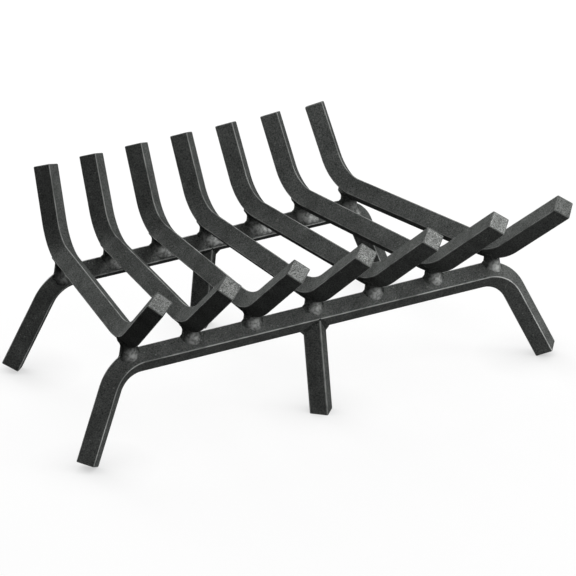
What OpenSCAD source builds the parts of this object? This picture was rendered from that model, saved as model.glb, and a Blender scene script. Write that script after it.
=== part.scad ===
// Log grate for a fireplace: seven square bars lie on edge across two rails of the same bar.
// Each cross bar is bent up at the front and at the back, so that logs can't roll off.
// Each rail is bent down at both ends into a splayed leg, and a centre leg stands under its middle.
// The grate is narrower at the back, so the cross bars fan out towards the front.
// X runs along the rails, Y from front to back, Z up. The floor is z = 0. All sizes are in mm.

/* [Bar stock] */
// Side of the square bar
bar_side = 19; // [15:0.5:22]
// Radius of the bar's rolled edges
edge_r = 1.2; // [0.6:0.1:2.4]

/* [Plan] */
// Pitch of the cross bars along the front rail
pitch_front = 71; // [64:0.5:80]
// Pitch of the cross bars along the back rail
pitch_back = 56.5; // [50:0.5:62]
// Distance between the centre lines of the two rails
rail_spacing = 215; // [190:1:250]

/* [Cross bars] */
// Front end: length from the corner of the bend's centre line to the cut
front_len = 125; // [110:0.5:140]
// Front end: rise above the level middle, in degrees
front_rise = 39.4; // [30:0.1:45]
// Front bend: radius of the centre line
front_bend_r = 77; // [60:1:85]
// Front bend: how far its corner lies in front of the front rail
front_out = 4.5; // [2:0.5:8]
// Upright: length from the corner of the bend's centre line to the cut
upright_len = 86.5; // [80:0.5:110]
// Upright: lean to the back, in degrees from vertical
upright_lean = 27.7; // [20:0.1:35]
// Back bend: radius of the centre line
back_bend_r = 48; // [40:1:55]
// Back bend: how far its corner lies behind the back rail
back_out = 11; // [8:0.5:14]

/* [Rails and legs] */
// Height of the rails' centre lines above the floor
rail_height = 98.5; // [90:0.5:115]
// Front rail: distance from the outer cross bar to the corner of the leg's bend
front_overhang = 12.5; // [10:0.5:30]
// Back rail: distance from the outer cross bar to the corner of the leg's bend
back_overhang = 8.5; // [7:0.5:30]
// Corner legs: splay in the rail's plane, in degrees
leg_splay = 25; // [18:0.5:30]
// Rails and legs: tilt of their plane, feet outward, in degrees
leg_tilt = 8.8; // [5:0.1:12]
// Leg bend: radius of the centre line
leg_bend_r = 40; // [34:1:46]

/* [Welds] */
// Gap between the rail's upper ridge and the level middle's lower ridge, seen from the side
ridge_gap = 0.2; // [0.2:0.1:1.5]
// Weld neck: radius at its waist
neck_r = 8.3; // [7:0.1:9]
// Weld neck: radius where it spreads on the bars
neck_spread_r = 10.5; // [9.5:0.1:11]
// Weld neck: radius of its hollow side
neck_hollow_r = 22; // [16:1:30]
// Centre legs: radius of the weld bead round the top
bead_r = 2.6; // [2:0.1:4]
// Centre legs: how much thicker the bead is at each ridge
knob_step = 0.3; // [0.2:0.1:0.8]

/* [Hidden] */
$fn = 96;

// Half of the bar's diagonal, ridge to centre line, with its edges rounded
ridge = bar_side / sqrt(2) - edge_r * (sqrt(2) - 1);
// Bends: angle turned, and distance from the bend's corner to where it starts
upright_turn = 90 - upright_lean;
leg_turn = 90 - leg_splay;
front_tangent = front_bend_r * tan(front_rise / 2);
back_tangent = back_bend_r * tan(upright_turn / 2);
leg_tangent = leg_bend_r * tan(leg_turn / 2);
// Straight ends start this far inside their bends and are this much thinner on each side
joint_in = 1;
joint_step = 0.03;
// Distance from the middle of each rail to the corner of its leg's bend
outer_bar = 3;
front_reach = outer_bar * pitch_front + front_overhang;
back_reach = outer_bar * pitch_back + back_overhang;
// The leg's inner corner stands on the floor
leg_len = (rail_height / cos(leg_tilt) - ridge * sin(leg_splay)) / cos(leg_splay);
// The cross bars' level middles lie ridge on ridge over the rails
bar_height = rail_height + 2 * ridge + ridge_gap;
// The rails' upper ridge leans in by this much, and stands this high over the rail's centre line
ridge_in = ridge * sin(leg_tilt);
ridge_up = ridge * cos(leg_tilt);
// The middle cross bar reaches furthest to the front and to the back: the origin lies midway
reach_front = front_out + front_len * cos(front_rise) + ridge * sin(front_rise);
reach_back = rail_spacing + back_out + upright_len * sin(upright_lean) + ridge * cos(upright_lean);
front_y = (reach_front - reach_back) / 2;
back_y = front_y + rail_spacing;

// Angle of cross bar k (k = -3 at the left, 3 at the right) and its length between the rails
function fan(k) = atan(k * (pitch_front - pitch_back) / rail_spacing);
function span(k) = rail_spacing / cos(fan(k));
// How far a bend of radius r has lifted the centre line, d past its start
function lift(r, d) = r - sqrt(r * r - pow(max(0, d), 2));

// Section of the bar, set on edge
module bar_section(side = bar_side) {
    rotate(45) {
        square([side, side - 2 * edge_r], center = true);
        square([side - 2 * edge_r, side], center = true);
        for (x = [-1, 1], y = [-1, 1]) {
            translate([x, y] * (side / 2 - edge_r)) circle(edge_r);
        }
    }
}

// Straight bar along +X
module run(length, side = bar_side) {
    rotate([90, 0, 90]) linear_extrude(length) bar_section(side);
}

// Bend that starts along +X and turns towards +Y
module bend(radius, angle) {
    translate([0, radius, 0]) rotate([0, 0, -90]) rotate_extrude(angle = angle) translate([radius, 0]) bar_section();
}

// Bend with its straight end, whose length is counted from the corner of the bend's centre line.
// The end is a hair thinner than the bend and starts inside it, so that the two share no surface.
module arm(radius, angle, length) {
    bend(radius, angle);
    translate([0, radius, 0]) rotate([0, 0, angle]) translate([-joint_in, -radius, 0]) {
        run(length - radius * tan(angle / 2) + joint_in, bar_side - 2 * joint_step);
    }
}

// Cross bar in its own upright plane: x from the front rail to the back, y up
module bent_bar(k) {
    middle_from = front_tangent - front_out;
    middle_to = span(k) + back_out - back_tangent;
    translate([middle_from, 0, 0]) run(middle_to - middle_from);
    translate([middle_to, 0, 0]) arm(back_bend_r, upright_turn, upright_len);
    translate([middle_from, 0, 0]) rotate([0, 180, 0]) arm(front_bend_r, front_rise, front_len);
}

module cross_bar(k) {
    translate([k * pitch_front, front_y, bar_height]) rotate([0, 0, fan(k)]) rotate([90, 0, 90]) bent_bar(k);
}

// Rail with both legs in its own plane: x along the rail, y up
module bent_rail(reach) {
    half = reach - leg_tangent;
    rotate([180, 0, 0]) {
        translate([-half, 0, 0]) run(2 * half);
        translate([half, 0, 0]) arm(leg_bend_r, leg_turn, leg_len);
        translate([-half, 0, 0]) rotate([0, 180, 0]) arm(leg_bend_r, leg_turn, leg_len);
    }
}

// The rails' planes, feet outward
module front_plane() {
    translate([0, front_y, rail_height]) rotate([90 - leg_tilt, 0, 0]) children();
}

module back_plane() {
    translate([0, back_y, rail_height]) mirror([0, 1, 0]) rotate([90 - leg_tilt, 0, 0]) children();
}

// Straight piece of rail under the notch of a centre leg, in the rail's plane
module rail_middle() {
    translate([-leg_bend_r, 0, 0]) run(2 * leg_bend_r);
}

// Centre leg in the rail's plane, notched over the rail
module notched_leg() {
    difference() {
        rotate([0, 0, -90]) translate([edge_r, 0, 0]) run(rail_height / cos(leg_tilt) + bar_side);
        rail_middle();
    }
}

// Everything below the floor: it cuts the centre legs' feet level
module below_floor() {
    translate([-bar_side, -rail_spacing, -2 * bar_side]) cube([2 * bar_side, 2 * rail_spacing, 2 * bar_side]);
}

// Weld bead round the top of a centre leg: it follows the four seams between leg and rail,
// with a small knob where two seams meet on a ridge
module leg_bead() {
    seam = ridge * sqrt(3);
    difference() {
        for (side = [-1, 1], face = [-1, 1]) {
            translate([side * ridge, -ridge, 0]) rotate([0, acos(face / sqrt(3)), atan2(1, -side)]) {
                cylinder(r = bead_r, h = seam);
            }
            translate([side * ridge, -ridge, 0]) sphere(bead_r + knob_step);
            translate([0, 0, face * ridge]) sphere(bead_r + knob_step);
        }
        rail_middle();
        rotate([0, 0, -90]) translate([edge_r, 0, 0]) run(3 * ridge);
    }
}

// Weld neck between a rail's upper ridge and a cross bar's lower ridge
module neck(rail_drop, bar_lift) {
    top = bar_height - rail_height + bar_lift + rail_drop;
    waist = (top + ridge_up - ridge) / 2;
    translate([0, 0, -rail_drop]) rotate_extrude() difference() {
        square([neck_spread_r, top]);
        translate([neck_r + neck_hollow_r, waist]) circle(neck_hollow_r);
    }
}

module weld_front(k) {
    bar_lift = lift(front_bend_r, front_tangent - front_out - ridge_in / cos(fan(k)));
    rail_drop = lift(leg_bend_r, abs(k) * pitch_front - front_reach + leg_tangent);
    difference() {
        translate([k * pitch_front - ridge_in * tan(fan(k)), front_y + ridge_in, rail_height]) {
            neck(rail_drop, bar_lift);
        }
        cross_bar(k);
        front_plane() bent_rail(front_reach);
    }
}

module weld_back(k) {
    bar_lift = lift(back_bend_r, back_tangent - back_out - ridge_in / cos(fan(k)));
    rail_drop = lift(leg_bend_r, abs(k) * pitch_back - back_reach + leg_tangent);
    difference() {
        translate([k * pitch_back + ridge_in * tan(fan(k)), back_y - ridge_in, rail_height]) {
            neck(rail_drop, bar_lift);
        }
        cross_bar(k);
        back_plane() bent_rail(back_reach);
    }
}

module front_rail() {
    color("dimgray") front_plane() bent_rail(front_reach);
}

module back_rail() {
    color("dimgray") back_plane() bent_rail(back_reach);
}

module front_centre_leg() {
    color("gray") difference() {
        front_plane() notched_leg();
        translate([0, front_y, 0]) below_floor();
    }
}

module back_centre_leg() {
    color("gray") difference() {
        back_plane() notched_leg();
        translate([0, back_y, 0]) below_floor();
    }
}

module cross_bar_1() {
    color("slategray") cross_bar(-3);
}

module cross_bar_2() {
    color("slategray") cross_bar(-2);
}

module cross_bar_3() {
    color("slategray") cross_bar(-1);
}

module cross_bar_4() {
    color("slategray") cross_bar(0);
}

module cross_bar_5() {
    color("slategray") cross_bar(1);
}

module cross_bar_6() {
    color("slategray") cross_bar(2);
}

module cross_bar_7() {
    color("slategray") cross_bar(3);
}

module weld_front_1() {
    color("silver") weld_front(-3);
}

module weld_front_2() {
    color("silver") weld_front(-2);
}

module weld_front_3() {
    color("silver") weld_front(-1);
}

module weld_front_4() {
    color("silver") weld_front(0);
}

module weld_front_5() {
    color("silver") weld_front(1);
}

module weld_front_6() {
    color("silver") weld_front(2);
}

module weld_front_7() {
    color("silver") weld_front(3);
}

module weld_back_1() {
    color("silver") weld_back(-3);
}

module weld_back_2() {
    color("silver") weld_back(-2);
}

module weld_back_3() {
    color("silver") weld_back(-1);
}

module weld_back_4() {
    color("silver") weld_back(0);
}

module weld_back_5() {
    color("silver") weld_back(1);
}

module weld_back_6() {
    color("silver") weld_back(2);
}

module weld_back_7() {
    color("silver") weld_back(3);
}

module weld_front_leg() {
    color("silver") front_plane() leg_bead();
}

module weld_back_leg() {
    color("silver") back_plane() leg_bead();
}

front_rail();
back_rail();
cross_bar_1();
cross_bar_2();
cross_bar_3();
cross_bar_4();
cross_bar_5();
cross_bar_6();
cross_bar_7();
front_centre_leg();
back_centre_leg();
weld_front_1();
weld_front_2();
weld_front_3();
weld_front_4();
weld_front_5();
weld_front_6();
weld_front_7();
weld_back_1();
weld_back_2();
weld_back_3();
weld_back_4();
weld_back_5();
weld_back_6();
weld_back_7();
weld_front_leg();
weld_back_leg();
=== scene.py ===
# %% [markdown]
# # A log grate of square bar
# The grate is a welded assembly: seven cross bars lie on edge over two rails, and the rails' ends are
# bent down into legs. A smith makes each piece from one length of hot-rolled square bar, bent over a
# round former. The imported CAD model gives the frame and the sizes, so every piece made here goes where
# its CAD node is.

# %% The imported model
import math
import random
import bpy
from mathutils import Matrix, Vector


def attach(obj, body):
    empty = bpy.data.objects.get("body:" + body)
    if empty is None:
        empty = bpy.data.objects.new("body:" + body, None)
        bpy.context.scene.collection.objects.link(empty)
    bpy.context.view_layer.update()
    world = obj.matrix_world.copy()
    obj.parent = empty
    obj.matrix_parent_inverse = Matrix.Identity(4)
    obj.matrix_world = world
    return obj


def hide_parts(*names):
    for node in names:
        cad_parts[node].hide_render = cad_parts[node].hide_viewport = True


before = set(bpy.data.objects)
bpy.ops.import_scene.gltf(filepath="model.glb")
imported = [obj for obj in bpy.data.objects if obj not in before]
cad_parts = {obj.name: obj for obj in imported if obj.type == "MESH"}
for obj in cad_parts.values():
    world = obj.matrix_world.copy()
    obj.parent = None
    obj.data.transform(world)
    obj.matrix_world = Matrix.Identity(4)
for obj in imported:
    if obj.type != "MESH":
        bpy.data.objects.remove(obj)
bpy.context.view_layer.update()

# %% [markdown]
# ## Sizes
# The part's source holds these sizes in millimetres. They are written here again, because this script
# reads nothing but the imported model, and each one is turned into metres once. A bar on edge is measured
# by its ridge: the distance from the bar's middle to one of its four rounded ridges.

# %% Sizes of the bars
MM = 0.001
SIDE, EDGE = 19 * MM, 1.2 * MM
RIDGE = SIDE / math.sqrt(2) - EDGE * (math.sqrt(2) - 1)
# A cross bar's two ends: length from the bend's corner, how far it turns up, the bend's radius, and how
# far the corner lies out past the rail.
FRONT = {"length": 125 * MM, "turn": math.radians(39.4), "radius": 77 * MM, "out": 4.5 * MM}
BACK = {"length": 86.5 * MM, "turn": math.radians(90 - 27.7), "radius": 48 * MM, "out": 11 * MM}
print(f"bar side {SIDE / MM:.1f} mm, ridge {RIDGE / MM:.2f} mm")

# %% Sizes of the frame
BARS, MIDDLE_BAR, RIGHTMOST_BAR, BARS_EACH_SIDE = range(1, 8), 4, 7, 3
SIDES = ("front", "back")
OUTWARD = {"front": -1, "back": 1}
TO_RIGHT, TO_BACK, UPWARD = Vector((1, 0, 0)), Vector((0, 1, 0)), Vector((0, 0, 1))
# Between neighbouring cross bars on each rail, and between the two rails.
PITCH = {"front": 71 * MM, "back": 56.5 * MM}
SPACING = 215 * MM
# Heights of the middle lines. The weld bridges the small gap between the ridges of bars and rails.
RAIL_Z, RIDGE_GAP = 98.5 * MM, 0.2 * MM
BAR_Z = RAIL_Z + 2 * RIDGE + RIDGE_GAP
# How far a rail's plane leans outward, how far its end legs splay, and the radius of their bends.
TILT, SPLAY, LEG_RADIUS = math.radians(8.8), math.radians(25), 40 * MM
# From the outer cross bar to the corner of a rail's bend.
OVERHANG = {"front": 12.5 * MM, "back": 8.5 * MM}


def level_reach(end):
    """How far a bent end goes past its rail, measured level."""
    return end["out"] + end["length"] * math.cos(end["turn"]) + RIDGE * math.sin(end["turn"])


FRONT_Y = (level_reach(FRONT) - (SPACING + level_reach(BACK))) / 2
RAIL_Y = {"front": FRONT_Y, "back": FRONT_Y + SPACING}
print(f"bar height {BAR_Z / MM:.1f} mm, rails at y", [round(y / MM, 1) for y in RAIL_Y.values()])


# %% Bends and the fan
def tangent(bend):
    """Distance from a bend's corner to where its arc starts."""
    return bend["radius"] * math.tan(bend["turn"] / 2)


def fan(k):
    """Angle of cross bar k, from -3 at the left to 3 at the right: the grate narrows to the back."""
    return math.atan(k * (PITCH["front"] - PITCH["back"]) / SPACING)


print("outer bars turned", round(math.degrees(fan(BARS_EACH_SIDE)), 1), "degrees")

# %% [markdown]
# ## A bent bar
# A smith's bar keeps its section while its axis turns. Extrude and spin do the same: a square face with
# rounded corners is drawn at the first cut end, then pushed straight, spun about the bend's centre, and
# pushed straight again. A curve with a bevel would also do it, but spin puts the edges exactly at the
# start and the end of each bend.


# %% Select
def select_none():
    """Leaves edit mode and selects nothing, because an operator acts on all that is selected."""
    if bpy.context.object and bpy.context.object.mode != "OBJECT":
        bpy.ops.object.mode_set(mode="OBJECT")
    bpy.ops.object.select_all(action="DESELECT")


def only(piece):
    select_none()
    piece.select_set(True)
    bpy.context.view_layer.objects.active = piece


# %% Draw, push and bend
CORNER_SEGMENTS, DEGREES_PER_STEP, FEWEST_STEPS = 5, 2.5, 6


def draw_section(name, centre, along, up):
    """Square face on edge, its corners rounded, facing along the bar. Leaves it in edit mode."""
    side = along.cross(up).normalized()
    x = (up + side).normalized()
    turned = Matrix((x, along.cross(x), along)).transposed()
    select_none()
    bpy.ops.mesh.primitive_plane_add(size=SIDE, location=centre, rotation=turned.to_euler())
    piece = bpy.context.object
    piece.name = piece.data.name = name
    bpy.ops.object.transform_apply(location=True, rotation=True, scale=True)
    bpy.ops.object.mode_set(mode="EDIT")
    bpy.ops.mesh.select_all(action="SELECT")
    bpy.ops.mesh.bevel(offset=EDGE, offset_pct=0, segments=CORNER_SEGMENTS, affect="VERTICES")
    bpy.ops.mesh.select_all(action="SELECT")
    return piece


def push(step):
    bpy.ops.mesh.extrude_region_move(TRANSFORM_OT_translate={"value": step})


def bend(centre, axis, angle):
    steps = max(FEWEST_STEPS, round(abs(math.degrees(angle)) / DEGREES_PER_STEP))
    bpy.ops.mesh.spin(steps=steps, dupli=False, angle=-angle, center=centre, axis=axis)


# %% [markdown]
# ## Ridge highlights
# The rounded ridges catch the light and show as lighter lines. That highlight is painted into the colour
# here, with some wear where the paint is rubbed thin on a touched ridge. Those places are stored on the
# mesh as a number per point, which the paint reads later. A mask made from the surface's curvature would
# need a bake, and a number per point is exact and follows every bend.

# %% Where the highlight is painted
# A face wider than this is a flat, and a rounded edge gets this share of the painted highlight where it
# meets a flat.
FLAT_WIDTH, BESIDE_FLAT = 0.8 * MM, 0.35
# A ridge whose normal points back by more than this gets this share of the painted highlight.
TURNED_BACK, BACK_SHARE = 0.3, 0.35


def store_highlight_and_wear(mesh, values):
    """A boolean brings the other piece's painted highlight and wear along, so any old one is taken off
    first.
    """
    if "highlight_and_wear" in mesh.attributes:
        mesh.attributes.remove(mesh.attributes["highlight_and_wear"])
    mesh.attributes.new("highlight_and_wear", "FLOAT", "POINT").data.foreach_set("value", values)


def mark_ridge_highlight_and_wear(piece):
    """Stores the painted highlight and wear: 1 along the crest of the rounded edges, 0 on the flats and
    the cut ends.
    """
    mesh, flats, beside = piece.data, set(), set()
    for face in mesh.polygons:
        corners = [mesh.vertices[i].co for i in face.vertices]
        longest = max((a - b).length for a, b in zip(corners, corners[1:] + corners[:1]))
        if face.area / longest > FLAT_WIDTH:
            flats.update(face.vertices)
    for edge in mesh.edges:
        if flats.intersection(edge.vertices):
            beside.update(edge.vertices)
    indices = range(len(mesh.vertices))
    store_highlight_and_wear(mesh, [0 if i in flats else BESIDE_FLAT if i in beside else 1 for i in indices])


def less_highlight_and_wear_at_back(piece):
    """Ridges turned to the back get less of the painted highlight and wear."""
    mesh = piece.data
    for vertex, highlight_and_wear in zip(mesh.vertices, mesh.attributes["highlight_and_wear"].data):
        if vertex.normal.y > TURNED_BACK:
            highlight_and_wear.value *= BACK_SHARE


# %% [markdown]
# ## A finished bar
# A saw leaves a sharp rim round each end of the bar, and a file and then the paint round it. A small
# bevel does that here. A real bar has flat flats and round ridges, but smooth shading would bend the
# light on the flats too, so weighted normals hold them flat and leave the ridges smooth.

# %% Finish a bar
END_CHAMFER, CHAMFER_SEGMENTS = 1.1 * MM, 3
# Points nearer than this, in metres, are one. Edges sharper than this angle stay sharp.
SAME_POINT, SMOOTH_BELOW = 1e-6, math.radians(35)


def select_cut_ends():
    """The cut ends are the only faces with more than four sides."""
    bpy.ops.mesh.select_all(action="DESELECT")
    bpy.ops.mesh.select_face_by_sides(number=4, type="GREATER")


def report(piece):
    print(piece.name, len(piece.data.polygons), "faces", [round(v / MM, 1) for v in piece.dimensions])


def finish_bar(piece, chamfer=END_CHAMFER):
    """Closes the edit, breaks the sharp cut ends, and shades flats flat and rounded edges smooth."""
    bpy.ops.mesh.select_all(action="SELECT")
    bpy.ops.mesh.remove_doubles(threshold=SAME_POINT)
    bpy.ops.mesh.normals_make_consistent(inside=False)
    select_cut_ends()
    bpy.ops.mesh.bevel(offset=chamfer, segments=CHAMFER_SEGMENTS, affect="EDGES")
    bpy.ops.object.mode_set(mode="OBJECT")
    only(piece)
    bpy.ops.object.shade_smooth_by_angle(angle=SMOOTH_BELOW)
    bpy.ops.object.modifier_add(type="WEIGHTED_NORMAL")
    piece.modifiers[-1].keep_sharp = True
    bpy.ops.object.modifier_apply(modifier=piece.modifiers[-1].name)
    mark_ridge_highlight_and_wear(piece)
    report(piece)
    return piece


# %% One bent bar
def bent_bar(name, origin, heading, up, first, middle, last):
    """Straight end, bend, middle, bend, straight end. origin is where the middle starts."""
    axis = heading.cross(up)
    unbend = Matrix.Rotation(-first["turn"], 3, axis)
    turned = unbend @ heading
    first_run, last_run = (end["length"] - tangent(end) for end in (first, last))
    corner = origin + up * first["radius"]
    start = corner + unbend @ (origin - corner) - turned * first_run
    piece = draw_section(name, start, turned, unbend @ up)
    push(turned * first_run)
    bend(corner, axis, first["turn"])
    push(heading * middle)
    bend(origin + heading * middle + up * last["radius"], axis, last["turn"])
    push((Matrix.Rotation(last["turn"], 3, axis) @ heading) * last_run)
    return finish_bar(piece)


# %% [markdown]
# ## Cross bars
# Each cross bar lies in its own upright plane. The front end rises gently and the back end stands nearly
# upright, which keeps the logs from rolling off. The middle is a little longer on the outer bars, because
# they cross the rails at an angle. That is why each bar is bent anew and not copied from the first.


# %% Seven cross bars
def cross_bar(number):
    k = number - MIDDLE_BAR
    heading = Matrix.Rotation(fan(k), 3, "Z") @ TO_BACK
    begins = tangent(FRONT) - FRONT["out"]
    ends = SPACING / math.cos(fan(k)) + BACK["out"] - tangent(BACK)
    origin = Vector((k * PITCH["front"], FRONT_Y, BAR_Z)) + heading * begins
    return bent_bar(f"bar_{number}", origin, heading, UPWARD, FRONT, ends - begins, BACK)


cross_bars = {number: cross_bar(number) for number in BARS}

# %% [markdown]
# ## Rails
# A rail is the same kind of bar turned over, so both ends point down. Its plane leans, which carries the
# feet outward. The legs' length is worked out from the height of the rail, so the inner corner of each
# foot stands on the floor. Both rails are bent by the same function as the cross bars.

# %% Two rails with their legs
LEG = {"radius": LEG_RADIUS, "turn": math.pi / 2 - SPLAY}
LEG["length"] = (RAIL_Z / math.cos(TILT) - RIDGE * math.sin(SPLAY)) / math.cos(SPLAY)


def leaning_down(side):
    """Direction down a rail's leaning plane."""
    return Vector((0, OUTWARD[side] * math.sin(TILT), -math.cos(TILT)))


def straight_half(side):
    """Half the length of a rail's straight part, from its middle to where its bend starts."""
    return BARS_EACH_SIDE * PITCH[side] + OVERHANG[side] - tangent(LEG)


def rail(side):
    half = straight_half(side)
    origin = Vector((-half, RAIL_Y[side], RAIL_Z))
    piece = bent_bar(f"rail_{side}", origin, TO_RIGHT, leaning_down(side), LEG, 2 * half, LEG)
    less_highlight_and_wear_at_back(piece)
    return piece


rails = {side: rail(side) for side in SIDES}

# %% [markdown]
# ## Centre legs
# A centre leg is a straight piece of the same bar. Its top is notched to sit over the rail, and its foot
# is cut level with the floor. Here the leg is pushed up into the rail, the rail itself cuts the notch
# with a boolean, and a bisect makes the level foot. A notch drawn by hand would have to be measured from
# the rail, and the boolean can't miss it.

# %% Two centre legs
LEG_CHAMFER = 0.45 * MM


def leg_top(side):
    return Vector((0, RAIL_Y[side], RAIL_Z))


def centre_leg(side):
    top, down = leg_top(side), leaning_down(side)
    up = TO_BACK.cross(down).cross(down).normalized()
    piece = draw_section(f"leg_{side}", top + down * EDGE, down, up)
    push(down * (RAIL_Z / math.cos(TILT) + SIDE))
    bpy.ops.mesh.select_all(action="SELECT")
    bpy.ops.mesh.bisect(plane_co=(0, 0, 0), plane_no=(0, 0, -1), clear_outer=True, use_fill=True)
    bpy.ops.mesh.select_all(action="SELECT")
    bpy.ops.mesh.normals_make_consistent(inside=False)
    bpy.ops.object.mode_set(mode="OBJECT")
    only(piece)
    notch = piece.modifiers.new("notch", "BOOLEAN")
    notch.operation, notch.solver, notch.object = "DIFFERENCE", "EXACT", rails[side]
    bpy.ops.object.modifier_apply(modifier="notch")
    bpy.ops.object.mode_set(mode="EDIT")
    finish_bar(piece, LEG_CHAMFER)
    less_highlight_and_wear_at_back(piece)
    return piece


legs = {side: centre_leg(side) for side in SIDES}

# %% [markdown]
# ## Welds
# Weld metal flows into the corners between two bars and freezes in a hollow curve. To get that curve,
# short copies of both bars, made a little thinner, are joined with a neck and a few drops, remeshed as one
# skin and smoothed. Smoothing fills the inner corners and leaves the flats inside the bars, so what shows
# is only the weld metal. Placing a smooth fillet by hand at every crossing would be slower and stiffer.

# %% Short copies, drops and cones
STUB_HALF, STUB_THINNER = 15 * MM, 0.3 * MM


def stub(piece, centre, along, half):
    """Short closed copy of a bar around centre, thinner than the bar on every side."""
    only(piece)
    bpy.ops.object.duplicate()
    bpy.ops.object.mode_set(mode="EDIT")
    for hand in (1, -1):
        cut = centre + along * half * hand
        bpy.ops.mesh.select_all(action="SELECT")
        bpy.ops.mesh.bisect(plane_co=cut, plane_no=along * hand, clear_outer=True, use_fill=True)
    bpy.ops.mesh.select_all(action="SELECT")
    bpy.ops.mesh.normals_make_consistent(inside=False)
    bpy.ops.transform.shrink_fatten(value=-STUB_THINNER)
    bpy.ops.object.mode_set(mode="OBJECT")
    return bpy.context.object


def drop(centre, radius):
    """A drop of molten metal."""
    select_none()
    bpy.ops.mesh.primitive_uv_sphere_add(segments=24, ring_count=12, radius=radius, location=centre)
    bpy.ops.object.transform_apply(location=True, rotation=True, scale=True)
    return bpy.context.object


def cone(start, end, start_radius, end_radius):
    select_none()
    along = end - start
    turn = along.to_track_quat("Z", "Y").to_euler()
    bpy.ops.mesh.primitive_cone_add(
        vertices=32, radius1=start_radius, radius2=end_radius, depth=along.length,
        location=(start + end) / 2, rotation=turn)
    bpy.ops.object.transform_apply(location=True, rotation=True, scale=True)
    return bpy.context.object


# %% One smoothed skin
VOXEL, SMOOTHING = 0.7 * MM, 0.5


def join(parts, name):
    select_none()
    for part in parts:
        part.select_set(True)
    bpy.context.view_layer.objects.active = parts[0]
    bpy.ops.object.join()
    piece = bpy.context.object
    piece.name = piece.data.name = name
    return piece


def freeze(name, parts, passes, cut_by):
    """Joins the parts, wraps them in one smoothed skin and takes the bars away from it."""
    piece = join(parts, name)
    bpy.ops.object.modifier_add(type="REMESH")
    piece.modifiers[-1].mode, piece.modifiers[-1].voxel_size = "VOXEL", VOXEL
    bpy.ops.object.modifier_apply(modifier=piece.modifiers[-1].name)
    bpy.ops.object.modifier_add(type="SMOOTH")
    piece.modifiers[-1].factor, piece.modifiers[-1].iterations = SMOOTHING, passes
    bpy.ops.object.modifier_apply(modifier=piece.modifiers[-1].name)
    for bar in cut_by:
        bpy.ops.object.modifier_add(type="BOOLEAN")
        trim = piece.modifiers[-1]
        trim.operation, trim.solver, trim.object = "DIFFERENCE", "MANIFOLD", bar
        bpy.ops.object.modifier_apply(modifier=trim.name)
    bpy.ops.object.shade_smooth()
    return piece


# %% [markdown]
# ## Where a bar crosses a rail
# A cross bar's lower ridge passes over the rail's top ridge. At the outer bars the rail has already
# begun to bend down, and at every crossing the bar has begun to rise towards its end, so each weld is
# worked out from its own crossing. Weld metal that ran out lies on the rail's two upper faces, and
# follows its bend too.

# %% Places on a rail
BAR_END = {"front": FRONT, "back": BACK}


def rail_point(x, y, facing, down_slope, height):
    """Point on an upper face of a rail: down the slope from its middle line, and above the face."""
    lean = TILT if (y > 0) == (facing > 0) else -TILT
    up = Vector((0, -facing * math.sin(lean), math.cos(lean)))
    out = Vector((0, facing * math.cos(lean), math.sin(lean)))
    face, slope = (up + out) / math.sqrt(2), (out - up) / math.sqrt(2)
    return Vector((x, y, RAIL_Z)) + face * (SIDE / 2 + height) + slope * down_slope


def bent_down(x, straight):
    """How far a rail has come down at x. straight is half the length of its straight part."""
    past = max(0, abs(x) - straight)
    return LEG_RADIUS - math.sqrt(LEG_RADIUS ** 2 - past ** 2)


def crossing_point(side, number):
    """Where a bar's lower ridge crosses a rail's top ridge, and how far each has bent away there."""
    k, straight, bar_end = number - MIDDLE_BAR, straight_half(side), BAR_END[side]
    ridge_y = RAIL_Y[side] - OUTWARD[side] * RIDGE * math.sin(TILT)
    x = k * PITCH[side] - (ridge_y - RAIL_Y[side]) * math.tan(fan(k))
    over = max(0, tangent(bar_end) - bar_end["out"] - RIDGE * math.sin(TILT))
    lift = bar_end["radius"] - math.sqrt(bar_end["radius"] ** 2 - over ** 2)
    return x, ridge_y, bent_down(x, straight), lift


for side in SIDES:
    x, ridge_y, sink, lift = crossing_point(side, RIGHTMOST_BAR)
    print(f"{side}, outer bar: rail {sink / MM:.1f} mm down, bar {lift / MM:.1f} mm up")

# %% [markdown]
# ## Neck and run-out
# Under each cross bar the weld is a neck with a hollow side, flared to a collar where it meets the bar.
# Some metal ran out and froze as low bulges on both upper faces of the rail. A bulge is a drop that is
# mostly sunk in the rail, so only a low mound shows. The places below are written in millimetres, and a
# little luck keeps fourteen hand-made welds from looking stamped.

# %% The neck of a weld
NECK, WAIST_LUCK = 8.3 * MM, (0.92, 0.96)
# Heights of the waist over the rail's ridge, and of the collar and its rim over the waist.
WAIST_UP, COLLAR_UP, RIM_UP = 4 * MM, 3.5 * MM, 6.6 * MM
# The root is this many times as wide as the neck, and the collar and its rim flare out by this much.
ROOT_FLARE, COLLAR_FLARE, RIM_FLARE = 1.25, 1.6 * MM, 4.2 * MM
# A small drop on the rail's ridge: its radius, how far to each side it lies, and how far it is sunk.
CREST_RADIUS, CREST_ASIDE, CREST_SUNK = 2.8 * MM, 9.2 * MM, 1.2 * MM
luck = random.Random(11)


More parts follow.
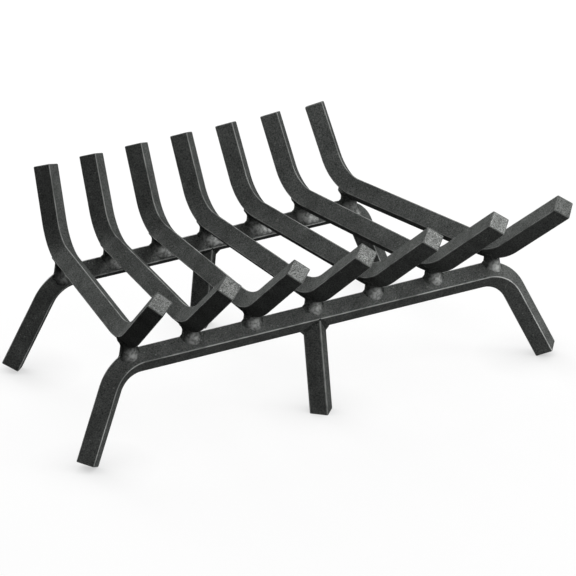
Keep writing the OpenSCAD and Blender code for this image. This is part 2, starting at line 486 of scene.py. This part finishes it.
def neck(side, number, x, ridge_y, sink, lift):
    """Short copies of both bars, the neck between them, and a drop on the rail's ridge at each side."""
    along = Matrix.Rotation(fan(number - MIDDLE_BAR), 3, "Z") @ TO_BACK
    low = Vector((x, ridge_y, RAIL_Z - sink))
    waist = Vector((x, ridge_y, RAIL_Z + RIDGE + WAIST_UP - sink / 2 + lift / 2))
    thin = NECK * luck.uniform(*WAIST_LUCK)
    collar, rim = waist + UPWARD * COLLAR_UP, waist + UPWARD * RIM_UP
    parts = [
        stub(cross_bars[number], Vector((x, ridge_y, BAR_Z)), along, STUB_HALF),
        stub(rails[side], Vector((x, RAIL_Y[side], RAIL_Z)), TO_RIGHT, STUB_HALF),
        cone(low, waist, NECK * ROOT_FLARE, thin),
        cone(waist, collar, thin, thin + COLLAR_FLARE),
        cone(collar, rim, thin + COLLAR_FLARE, thin + RIM_FLARE),
    ]
    for beside in (x - CREST_ASIDE, x + CREST_ASIDE):
        crest_z = RAIL_Z + RIDGE - CREST_SUNK - bent_down(beside, straight_half(side))
        parts.append(drop(Vector((beside, ridge_y, crest_z)), CREST_RADIUS))
    return parts


# %% The metal that ran out
# Each drop: along the rail, down the slope, height of its middle over the face, radius, all in
# millimetres, and whether its peak gets a painted highlight.
RUN_OUT = {
    "front": (
        (0.3, -2.2, -4.6, 7.4, True),
        (0.3, -6, -4.0, 7.2, False),
        (-6, -5, -4.8, 6.4, False),
        (7, -5, -3.4, 5.0, False),
    ),
    "back": (
        (-1, -2, -4.8, 7.6, True),
        (6, 2, -5.0, 6.7, True),
        (12.5, 4.5, -4.2, 5.3, True),
    ),
}
# How far a drop's place varies, in millimetres, and how much its radius does.
PLACE_LUCK, SIZE_LUCK = (-0.8, 0.8), (0.95, 1.05)
# No drop is put further than this past the start of a rail's bend, where it would hang off.
PAST_BEND = 25 * MM
# A peak stands this high over the face, and its painted highlight reaches this many millimetres beyond its
# drop's radius.
PEAK_HEIGHT, HIGHLIGHT_BEYOND = 1.5 * MM, 2.2
# How bright the painted highlight is on the rail faces turned to the front, and on those turned to the
# back.
MOST_HIGHLIGHT_FRONT, MOST_HIGHLIGHT_BACK = 1.1, 0.45


def run_out(side, x):
    """Drops on both upper faces of the rail, and the peaks that get a painted highlight: place, how far
    round, how much.
    """
    drops, peaks = [], []
    for facing in (-1, 1):
        for along_rail, down_slope, height, radius, highlit in RUN_OUT[side]:
            at = x + (along_rail + luck.uniform(*PLACE_LUCK)) * MM
            if abs(at) > straight_half(side) + PAST_BEND:
                continue
            down = Vector((0, 0, -bent_down(at, straight_half(side))))
            spot = rail_point(at, RAIL_Y[side], facing, down_slope * MM, height * MM) + down
            drops.append(drop(spot, radius * luck.uniform(*SIZE_LUCK) * MM))
            if highlit:
                peak = rail_point(at, RAIL_Y[side], facing, down_slope * MM, PEAK_HEIGHT) + down
                most = MOST_HIGHLIGHT_FRONT if facing < 0 else MOST_HIGHLIGHT_BACK
                peaks.append((peak, (radius + HIGHLIGHT_BEYOND) * MM, most))
    return drops, peaks


def mark_bulge_highlights(piece, peaks):
    """Stores a painted highlight: highest on the peak of each bulge, fading to 0 down its sides."""
    values = []
    for vertex in piece.data.vertices:
        highlit = max(most * (1 - (vertex.co - peak).length / around) for peak, around, most in peaks)
        values.append(min(1, max(0, highlit)))
    store_highlight_and_wear(piece.data, values)


# %% Welds where the cross bars lie on the rails
CROSSING_PASSES = 32


def crossing(side, number):
    """The weld between one rail and one cross bar: a hollow neck, and the drops that ran out of it."""
    x, ridge_y, sink, lift = crossing_point(side, number)
    parts = neck(side, number, x, ridge_y, sink, lift)
    drops, peaks = run_out(side, x)
    bars = [cross_bars[number], rails[side]]
    piece = freeze(f"weld_metal_{side}_{number}", parts + drops, CROSSING_PASSES, bars)
    mark_bulge_highlights(piece, peaks)
    report(piece)
    return piece


welds = {(side, number): crossing(side, number) for side in SIDES for number in BARS}

# %% [markdown]
# ## Welds round the centre legs
# A seam of weld runs up each side of the notch, and metal fills the inner corners between the leg and the
# rail. Each seam is a thin cone, and each corner is filled by half of a small square plate that stands on
# its corner. The same skin and smoothing then turn them into weld metal.

# %% Plain leg and corner plates
LEG_STUB_HALF, LEG_STUB_LENGTH = 24 * MM, 30 * MM
PLATE_REACH, PLATE_THICK = 3.9 * MM, 4 * MM


def plain_leg(top, down):
    """Short length of the leg without its notch, a little thinner."""
    piece = draw_section("leg_stub", top, down, TO_RIGHT)
    push(down * LEG_STUB_LENGTH)
    bpy.ops.mesh.select_all(action="SELECT")
    bpy.ops.mesh.normals_make_consistent(inside=False)
    bpy.ops.transform.shrink_fatten(value=-STUB_THINNER)
    bpy.ops.object.mode_set(mode="OBJECT")
    return piece


def corner_plate(corner, down, through):
    """Square plate stood on its corner: half of it fills the corner between the leg and the rail."""
    select_none()
    turn = Matrix((TO_RIGHT, down, through)).transposed().to_euler()
    bpy.ops.mesh.primitive_cylinder_add(
        vertices=4, radius=PLATE_REACH, depth=PLATE_THICK, location=corner, rotation=turn)
    bpy.ops.object.transform_apply(location=True, rotation=True, scale=True)
    return bpy.context.object


# %% Two leg welds
SEAM_START, SEAM_END = 1.9 * MM, 1.3 * MM
LEG_PASSES = 22


def leg_weld(side):
    """The weld round the notch of a centre leg: a seam up each side and a hollow in each inner corner."""
    top, down = leg_top(side), leaning_down(side)
    out = Vector((0, OUTWARD[side] * math.cos(TILT), math.sin(TILT)))
    leg = plain_leg(top, down)
    parts = [stub(rails[side], top, TO_RIGHT, LEG_STUB_HALF), leg]
    for hand in (-1, 1):
        inner = Vector((hand * RIDGE, 0, 0)) + down * RIDGE
        for facing in (-1, 1):
            parts.append(cone(top + inner, top + out * facing * RIDGE, SEAM_START, SEAM_END))
        parts.append(corner_plate(top + inner, down, OUTWARD[side] * out))
    piece = freeze(f"weld_metal_{side}_leg", parts, LEG_PASSES, [rails[side], legs[side]])
    store_highlight_and_wear(piece.data, [0] * len(piece.data.vertices))
    report(piece)
    return piece


leg_welds = {side: leg_weld(side) for side in SIDES}

# %% [markdown]
# ## Finishes
# The grate is painted with matt black stove paint. The paint is thin, so the skin of the hot-rolled bar
# shows through it: a fine grain, a slow waviness, and a few specks where dust or scale broke the film.
# All of it follows Object coordinates, which are real metres here, so a pattern keeps its size on every
# piece. A photograph of paint would not follow the bends, and would repeat.


# %% Colours and nodes
def to_linear(code):
    """sRGB hex to the linear colour that shaders work in."""
    channels = [int(code[i:i + 2], 16) / 255 for i in (1, 3, 5)]
    return (*[c / 12.92 if c <= 0.04045 else ((c + 0.055) / 1.055) ** 2.4 for c in channels], 1)


def add_node(tree, kind, settings=None, inputs=None):
    """Adds a node. An input is a value, or a socket to link from."""
    node = tree.nodes.new(kind)
    for key, value in (settings or {}).items():
        setattr(node, key, value)
    for key, value in (inputs or {}).items():
        if isinstance(value, bpy.types.NodeSocket):
            tree.links.new(value, node.inputs[key])
        else:
            node.inputs[key].default_value = value
    return node


def new_finish(name):
    finish = bpy.data.materials.new(name)
    finish.use_nodes = True
    finish.node_tree.nodes.clear()
    return finish, finish.node_tree, finish.node_tree.nodes.new("ShaderNodeOutputMaterial")


def per_metre(size_mm):
    """Noise scale that makes one feature about this many millimetres wide."""
    return 1 / (size_mm * MM)


# %% The paint film
# The waves' usual span, and how much darker a thick film and lighter a thin one is.
WAVE_LOW, WAVE_HIGH = 0.3, 0.7
THICK_FILM, THIN_FILM = 0.82, 1.15


def film_colour(tree, grain, wave, look):
    """A fine grain between two greys, made darker and lighter by slow waves in the film's thickness."""
    blend = add_node(tree, "ShaderNodeMapRange", None, {
        "Value": grain, "From Min": look["grain_span"][0], "From Max": look["grain_span"][1]})
    tone = add_node(tree, "ShaderNodeMix", {"data_type": "RGBA"}, {
        "Factor": blend.outputs["Result"], "A": to_linear(look["dark"]), "B": to_linear(look["light"])})
    drift = add_node(tree, "ShaderNodeMapRange", None, {
        "Value": wave, "From Min": WAVE_LOW, "From Max": WAVE_HIGH,
        "To Min": THICK_FILM, "To Max": THIN_FILM})
    waved = add_node(tree, "ShaderNodeMix", {"data_type": "RGBA", "blend_type": "MULTIPLY"}, {
        "Factor": 1.0, "A": tone.outputs["Result"], "B": drift.outputs["Result"]})
    return waved.outputs["Result"]


# %% [markdown]
# ## Specks and pits
# Dust in the coat shows as light specks, and scale that flaked off leaves dark pits. Real ones lie
# anywhere, and could be scattered one by one. A cell texture is quicker: it gives each cell one spot and
# one random number, and the number picks the few that show.

# %% Light and dark spots
# A spot is solid out to its core and gone at its rim, measured in cells.
SPECK_CORE, SPECK_RIM = 0.16, 0.26


def speckle(tree, place, colour, look):
    """Round spots, one to a cell: a share of them light specks, a share dark pits, the rest unseen."""
    cells = add_node(tree, "ShaderNodeTexVoronoi", {"feature": "F1"}, {
        "Vector": place, "Scale": per_metre(look["speck_mm"])})
    near = add_node(tree, "ShaderNodeMapRange", {"interpolation_type": "SMOOTHSTEP"}, {
        "Value": cells.outputs["Distance"], "From Min": SPECK_CORE, "From Max": SPECK_RIM,
        "To Min": 1.0, "To Max": 0.0})
    pick = add_node(tree, "ShaderNodeSeparateColor", None, {"Color": cells.outputs["Color"]})
    for operation, limit, spot in (
            ("GREATER_THAN", 1 - look["bright_share"], look["speck"]),
            ("LESS_THAN", look["pit_share"], look["pit"])):
        chosen = add_node(tree, "ShaderNodeMath", {"operation": operation}, {
            0: pick.outputs["Red"], 1: limit})
        shown = add_node(tree, "ShaderNodeMath", {"operation": "MULTIPLY"}, {
            0: near.outputs["Result"], 1: chosen.outputs[0]})
        spotted = add_node(tree, "ShaderNodeMix", {"data_type": "RGBA"}, {
            "Factor": shown.outputs[0], "A": colour, "B": to_linear(spot)})
        colour = spotted.outputs["Result"]
    return colour


# %% Painted highlights and wear
# The painted highlight and wear show this least share where the film is thick, and all of it where the
# film is thin.
LEAST_HIGHLIGHT, THICK_WAVE, THIN_WAVE = 0.35, 0.35, 0.6


def highlight_and_wear_colour(tree, wave, colour, look):
    """The lighter colour where the mesh stores painted highlight and wear, patchy with the same waves as
    the film.
    """
    edge = add_node(tree, "ShaderNodeAttribute", {"attribute_name": "highlight_and_wear"})
    patchy = add_node(tree, "ShaderNodeMapRange", None, {
        "Value": wave, "From Min": THICK_WAVE, "From Max": THIN_WAVE,
        "To Min": LEAST_HIGHLIGHT, "To Max": 1.0})
    highlight_share = add_node(tree, "ShaderNodeMath", {"operation": "MULTIPLY"}, {
        0: edge.outputs["Fac"], 1: patchy.outputs["Result"]})
    edged = add_node(tree, "ShaderNodeMix", {"data_type": "RGBA"}, {
        "Factor": highlight_share.outputs[0], "A": colour, "B": to_linear(look["edge"])})
    return edged.outputs["Result"]


# %% [markdown]
# ## One paint from its parts
# Film, specks and rubbed places together make the colour. The same grain and waves also push the surface
# in and out as bump. Relief of less than half a millimetre could be real geometry, but it would take
# millions of faces, and at this size it is only seen in how the light breaks up.


# %% Painted steel
def painted_steel(name, look):
    """Paint over steel: its colour as above, the same patterns as relief, and no mirror shine."""
    finish, tree, out = new_finish(name)
    place = add_node(tree, "ShaderNodeTexCoord").outputs["Object"]
    grain = add_node(tree, "ShaderNodeTexNoise", None, {
        "Vector": place, "Scale": per_metre(look["grain_mm"]), "Detail": 3.0, "Roughness": 0.65})
    wave = add_node(tree, "ShaderNodeTexNoise", None, {
        "Vector": place, "Scale": per_metre(look["wave_mm"]), "Detail": 2.0, "Roughness": 0.5})
    grain, wave = grain.outputs["Fac"], wave.outputs["Fac"]
    colour = speckle(tree, place, film_colour(tree, grain, wave, look), look)
    rough = add_node(tree, "ShaderNodeMapRange", None, {
        "Value": wave, "From Min": WAVE_LOW, "From Max": WAVE_HIGH,
        "To Min": look["rough"][0], "To Max": look["rough"][1]})
    waves = add_node(tree, "ShaderNodeBump", None, {
        "Height": wave, "Distance": look["wave_deep_mm"] * MM, "Strength": 1.0})
    relief = add_node(tree, "ShaderNodeBump", None, {
        "Height": grain, "Distance": look["grain_deep_mm"] * MM, "Strength": 1.0,
        "Normal": waves.outputs["Normal"]})
    shader = add_node(tree, "ShaderNodeBsdfPrincipled", None, {
        "Base Color": highlight_and_wear_colour(tree, wave, colour, look), "Roughness": rough.outputs["Result"],
        "Normal": relief.outputs["Normal"], "Specular IOR Level": 0.0})
    tree.links.new(shader.outputs[0], out.inputs["Surface"])
    return finish


# %% [markdown]
# ## Five states of one paint
# It is the same matt paint everywhere, but what lies under it changes how it looks, and some of the
# differences are painted light and shade, as said at each paint. Matt stove paint has almost no mirror
# shine, and in a white room even a little would turn the black to grey at low angles, so the shine is left
# out, and the highlights on ridges, sawn ends and weld bulges are painted into the colour instead. The
# grain of a rolled bar is finer than a pixel of the render, which is about 1 mm, so it is drawn about 1.4
# mm wide, as coarse as it needs to show. The grit of the sawn ends and the skin of the weld metal are
# drawn coarser than they are for the same reason.

# %% Paint on rolled bar
ROLLED_SKIN = {
    "grain_mm": 1.4, "grain_span": (0.34, 0.66), "wave_mm": 18, "speck_mm": 3.6, "pit_share": 0.08,
    "rough": (0.5, 0.6), "wave_deep_mm": 0.4, "grain_deep_mm": 0.05}
# Smooth rolled steel under a full coat: an even charcoal with soft clouds, and light lines on the ridges
# that are painted highlight and some wear.
STOVE_PAINT = painted_steel("stove_paint_on_rolled_bar", {
    **ROLLED_SKIN, "bright_share": 0.1,
    "dark": "#3c3e3d", "light": "#6b6d6b", "speck": "#767876", "pit": "#343635", "edge": "#a6a8a6"})
# The same steel on the rails, a shade lighter, with brighter lines on the ridges that are painted
# highlight and some wear.
RAIL_PAINT = painted_steel("stove_paint_on_rails", {
    **ROLLED_SKIN, "bright_share": 0.12,
    "dark": "#434544", "light": "#717371", "speck": "#828482", "pit": "#383a39", "edge": "#d0d2d0"})
print("rolled bar:", STOVE_PAINT.name, "and", RAIL_PAINT.name)

# %% Paint on sawn ends
SAWN_SKIN = {
    "grain_mm": 1.15, "grain_span": (0.36, 0.64), "wave_mm": 9, "speck_mm": 2.2,
    "bright_share": 0.2, "pit_share": 0.2,
    "rough": (0.5, 0.6), "wave_deep_mm": 0.2, "grain_deep_mm": 0.08}
# A saw leaves a rough face: a gritty grey, made light to paint the sheen that the key lamp gives the sawn
# ends.
CUT_END_PAINT = painted_steel("stove_paint_on_sawn_end", {
    **SAWN_SKIN,
    "dark": "#525452", "light": "#aaacaa", "speck": "#ccceca", "pit": "#404240", "edge": "#bcbebc"})
# The same grit, darker and more even: less painted sheen, for the ends of the rightmost bar.
DARKER_END_PAINT = painted_steel("stove_paint_on_sawn_end_less_sheen", {
    **SAWN_SKIN,
    "dark": "#3c3e3c", "light": "#7e807e", "speck": "#989a98", "pit": "#2e302f", "edge": "#8c8e8c"})
print("sawn ends:", CUT_END_PAINT.name, "and", DARKER_END_PAINT.name)

# %% Paint on weld metal
# Lumpy weld metal, dark and blotchy: its darker grey paints the shade under the bars into the necks, and
# its light peaks are painted highlights on the bulges.
WELD_PAINT = painted_steel("stove_paint_on_weld_metal", {
    "dark": "#2c2e2d", "light": "#525452", "speck": "#6c6e6c", "pit": "#1c1e1d", "edge": "#cccecc",
    "grain_mm": 2.0, "grain_span": (0.34, 0.66), "wave_mm": 3, "speck_mm": 3.0,
    "bright_share": 0.3, "pit_share": 0.25,
    "rough": (0.4, 0.5), "wave_deep_mm": 0.4, "grain_deep_mm": 0.12})
print("weld metal:", WELD_PAINT.name)

# %% [markdown]
# ## Which paint goes where
# A bar has two finishes, one on its length and one on its sawn ends. The ends are picked by the number of
# their sides, which stays true however a bar is bent or turned. The light grey of the sawn ends is painted
# sheen, and the rightmost bar's ends get a darker copy with less of it. A centre leg's ends are hidden in
# the weld and under the foot, so one finish is enough for it.


# %% Paint the pieces
def paint_bar(piece, paint, ends=CUT_END_PAINT):
    """The first finish covers the bar, and the second its two cut ends."""
    only(piece)
    piece.data.materials.append(paint)
    piece.data.materials.append(ends)
    bpy.ops.object.mode_set(mode="EDIT")
    select_cut_ends()
    piece.active_material_index = 1
    bpy.ops.object.material_slot_assign()
    bpy.ops.object.mode_set(mode="OBJECT")


for number, piece in cross_bars.items():
    paint_bar(piece, STOVE_PAINT, DARKER_END_PAINT if number == RIGHTMOST_BAR else CUT_END_PAINT)
for piece in rails.values():
    paint_bar(piece, RAIL_PAINT)
for piece in legs.values():
    piece.data.materials.append(STOVE_PAINT)
# The weld metal was cut by booleans, which can leave empty slots, so its slots are cleared first.
for piece in [*welds.values(), *leg_welds.values()]:
    piece.data.materials.clear()
    piece.data.materials.append(WELD_PAINT)
print("rightmost bar:", [slot.name for slot in cross_bars[RIGHTMOST_BAR].material_slots])

# %% [markdown]
# ## What stands for what
# Every piece made here rides on the one body of the grate and replaces the CAD node of the same piece.


# %% Ride and replace
def stands_for(piece, node):
    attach(piece, "root")
    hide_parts(node)


for number, piece in cross_bars.items():
    stands_for(piece, f"cross_bar_{number}")
for side in SIDES:
    stands_for(rails[side], f"{side}_rail")
    stands_for(legs[side], f"{side}_centre_leg")
    stands_for(leg_welds[side], f"weld_{side}_leg")
for (side, number), piece in welds.items():
    stands_for(piece, f"weld_{side}_{number}")
print(sum(map(len, (cross_bars, rails, legs, leg_welds, welds))), "pieces stand for their nodes")

# %% [markdown]
# ## Camera
# The camera stands where the photograph was taken from: to the left of the front, looking down a little,
# from far off through a long lens. Its place was fitted in units of the bar's ridge, so it is written in
# them, from a point over the middle of the front rail, as high as the level part of the cross bars. The
# lens comes from the photograph's width and a focal length in pixels, and the shift from the pixel that
# the camera points at.

# %% The photograph's camera
CAMERA_PLACE = Vector((-242.2764, -404.0462, 211.2716)) * RIDGE
YAW, LOOKING_DOWN = 0.5356424, 0.4220477
SENSOR_WIDTH, PHOTO_WIDTH, FOCAL_PIXELS = 36, 576, 6660.296895
CENTRE_PIXEL_X, CENTRE_PIXEL_Y = 286.1743, 295.8981
level = math.cos(LOOKING_DOWN)
forward = Vector((math.sin(YAW) * level, math.cos(YAW) * level, -math.sin(LOOKING_DOWN)))
right = Vector((math.cos(YAW), -math.sin(YAW), 0))
turn = Matrix((right, right.cross(forward), -forward)).transposed().to_euler()
bpy.ops.object.camera_add(location=CAMERA_PLACE + Vector((0, FRONT_Y, BAR_Z)), rotation=turn)
camera = bpy.context.object
camera.data.sensor_width = SENSOR_WIDTH
camera.data.lens = FOCAL_PIXELS * SENSOR_WIDTH / PHOTO_WIDTH
camera.data.shift_x = (PHOTO_WIDTH / 2 - CENTRE_PIXEL_X) / PHOTO_WIDTH
camera.data.shift_y = (CENTRE_PIXEL_Y - PHOTO_WIDTH / 2) / PHOTO_WIDTH
camera.data.clip_end = 100
bpy.context.scene.camera = camera
print("camera at", [round(v, 2) for v in camera.location], "lens", round(camera.data.lens), "mm")

# %% [markdown]
# ## Floor and backdrop
# The grate stands on a seamless white floor. A floor bright enough to read as white by lamps alone would
# also throw too much light up at the dark bars. So the floor is a mid grey that takes the lamps and the
# grate's shadow, and a white glow is added to it that only the camera and mirrored rays see. The glow is
# less near the feet, where the grate hides the floor from the sky, and that keeps the soft shade there.
# Far out it is a little stronger, so that the floor runs into the white room without a line.


# %% What only the camera and mirrored rays see
def seen_directly(tree):
    """1 for rays from the camera and mirrored or refracted rays, 0 for light that lands on the grate."""
    path = add_node(tree, "ShaderNodeLightPath")
    rays = [path.outputs[f"Is {kind} Ray"] for kind in ("Camera", "Glossy", "Transmission")]
    first = add_node(tree, "ShaderNodeMath", {"operation": "MAXIMUM"}, {0: rays[0], 1: rays[1]})
    either = add_node(tree, "ShaderNodeMath", {"operation": "MAXIMUM"}, {0: first.outputs[0], 1: rays[2]})
    return either.outputs[0]


# %% A glow that keeps the shade
# How far the shade reaches, in metres, and the glow deep in it and outside it.
SHADE_WIDTH, GLOW_AT_FEET, GLOW_IN_OPEN = 0.06, 0.48, 0.895
# From where to where the glow rises, in metres from the middle, and how many times as strong it gets.
RISE_START, RISE_END, FAR_GLOW = 0.6, 1.4, 1.12


def floor_glow(tree):
    """Strength of the glow: less where the grate is near, and a little more far out."""
    # The ambient occlusion paints a soft contact shadow into the glow near the feet.
    open_sky = add_node(tree, "ShaderNodeAmbientOcclusion", {"samples": 16}, {"Distance": SHADE_WIDTH})
    shade = add_node(tree, "ShaderNodeMapRange", None, {
        "Value": open_sky.outputs["AO"], "To Min": GLOW_AT_FEET, "To Max": GLOW_IN_OPEN})
    glow = add_node(tree, "ShaderNodeMath", {"operation": "MULTIPLY"}, {
        0: seen_directly(tree), 1: shade.outputs["Result"]})
    place = add_node(tree, "ShaderNodeTexCoord")
    away = add_node(tree, "ShaderNodeVectorMath", {"operation": "LENGTH"}, {0: place.outputs["Object"]})
    rise = add_node(tree, "ShaderNodeMapRange", None, {
        "Value": away.outputs["Value"], "From Min": RISE_START, "From Max": RISE_END,
        "To Min": 1.0, "To Max": FAR_GLOW})
    spread = add_node(tree, "ShaderNodeMath", {"operation": "MULTIPLY"}, {
        0: glow.outputs[0], 1: rise.outputs["Result"]})
    return spread.outputs[0]


# %% White floor
FLOOR_WIDTH = 30
select_none()
bpy.ops.mesh.primitive_plane_add(size=FLOOR_WIDTH)
floor = bpy.context.object
floor.name = "floor"
floor_finish, tree, out = new_finish("white_floor")
matt = add_node(tree, "ShaderNodeBsdfDiffuse", None, {"Color": to_linear("#5a5a5a")})
light = add_node(tree, "ShaderNodeEmission", None, {"Color": (1, 1, 1, 1), "Strength": floor_glow(tree)})
both = add_node(tree, "ShaderNodeAddShader", None, {0: matt.outputs[0], 1: light.outputs[0]})
tree.links.new(both.outputs[0], out.inputs["Surface"])
floor.data.materials.append(floor_finish)
print("floor", round(floor.dimensions.x), "m wide")

# %% [markdown]
# ## Light
# Six large soft lamps stand round the grate, as in a product studio. The key lamp, in front to the right
# and above, lights the sawn ends and the fronts of the rails. Two lamps behind light the bars from the
# back, which draws their ridges. The others are weak: one high up, one low in front and one at the front
# left, so that no side goes black. The strengths were fitted so that each kind of face comes out near its
# grey in the photograph. A lamp's power is worked out from how bright it should make a white card that
# faces it: power = pi squared x distance squared x brightness.

# %% Six soft lamps
# All lamps face a point low in the middle of the grate.
AIM = Vector((0, 0, 0.08))
# Azimuth and elevation in degrees, brightness, and distance and width in metres.
LAMPS = {
    "key_lamp": (320, 36, 0.44, 1.2, 0.42),
    "top_lamp": (0, 66, 0.19, 1.7, 0.9),
    "front_lamp": (285, 13, 0.26, 1.7, 0.9),
    "left_lamp": (240, 38, 0.17, 1.2, 0.6),
    "back_lamp": (105, 26, 0.63, 1.7, 0.9),
    "low_back_lamp": (90, 14, 1.00, 1.7, 0.9),
}


def soft_lamp(name, azimuth, elevation, brightness, distance, width):
    azimuth, elevation = math.radians(azimuth), math.radians(elevation)
    along_floor = Vector((math.cos(azimuth), math.sin(azimuth), 0)) * math.cos(elevation)
    toward = along_floor + Vector((0, 0, math.sin(elevation)))
    facing = toward.to_track_quat("Z", "Y").to_euler()
    bpy.ops.object.light_add(type="AREA", location=AIM + toward * distance, rotation=facing)
    lamp = bpy.context.object
    lamp.name = name
    lamp.data.energy = math.pi ** 2 * distance ** 2 * brightness
    lamp.data.size = width
    print(name, round(lamp.data.energy, 1), "W")


for name, values in LAMPS.items():
    soft_lamp(name, *values)

# %% [markdown]
# ## White room
# The world is white to the camera and nearly dark to the grate, so it gives the backdrop and hardly any
# light. Lighting the grate with it would flatten the faces that the lamps draw.

# %% White room
# Strength of the world for the light that lands on the grate, and for what is seen directly.
LIGHT_ON_GRATE, WHITE = 0.02, 1.0
room = bpy.data.worlds.new("white_room")
room.use_nodes = True
bpy.context.scene.world = room
tree = room.node_tree
background = tree.nodes["Background"]
background.inputs["Color"].default_value = (1, 1, 1, 1)
strength = add_node(tree, "ShaderNodeMapRange", None, {
    "Value": seen_directly(tree), "To Min": LIGHT_ON_GRATE, "To Max": WHITE})
tree.links.new(strength.outputs["Result"], background.inputs["Strength"])
bpy.context.scene.view_settings.view_transform = "Standard"
print("world", room.name)
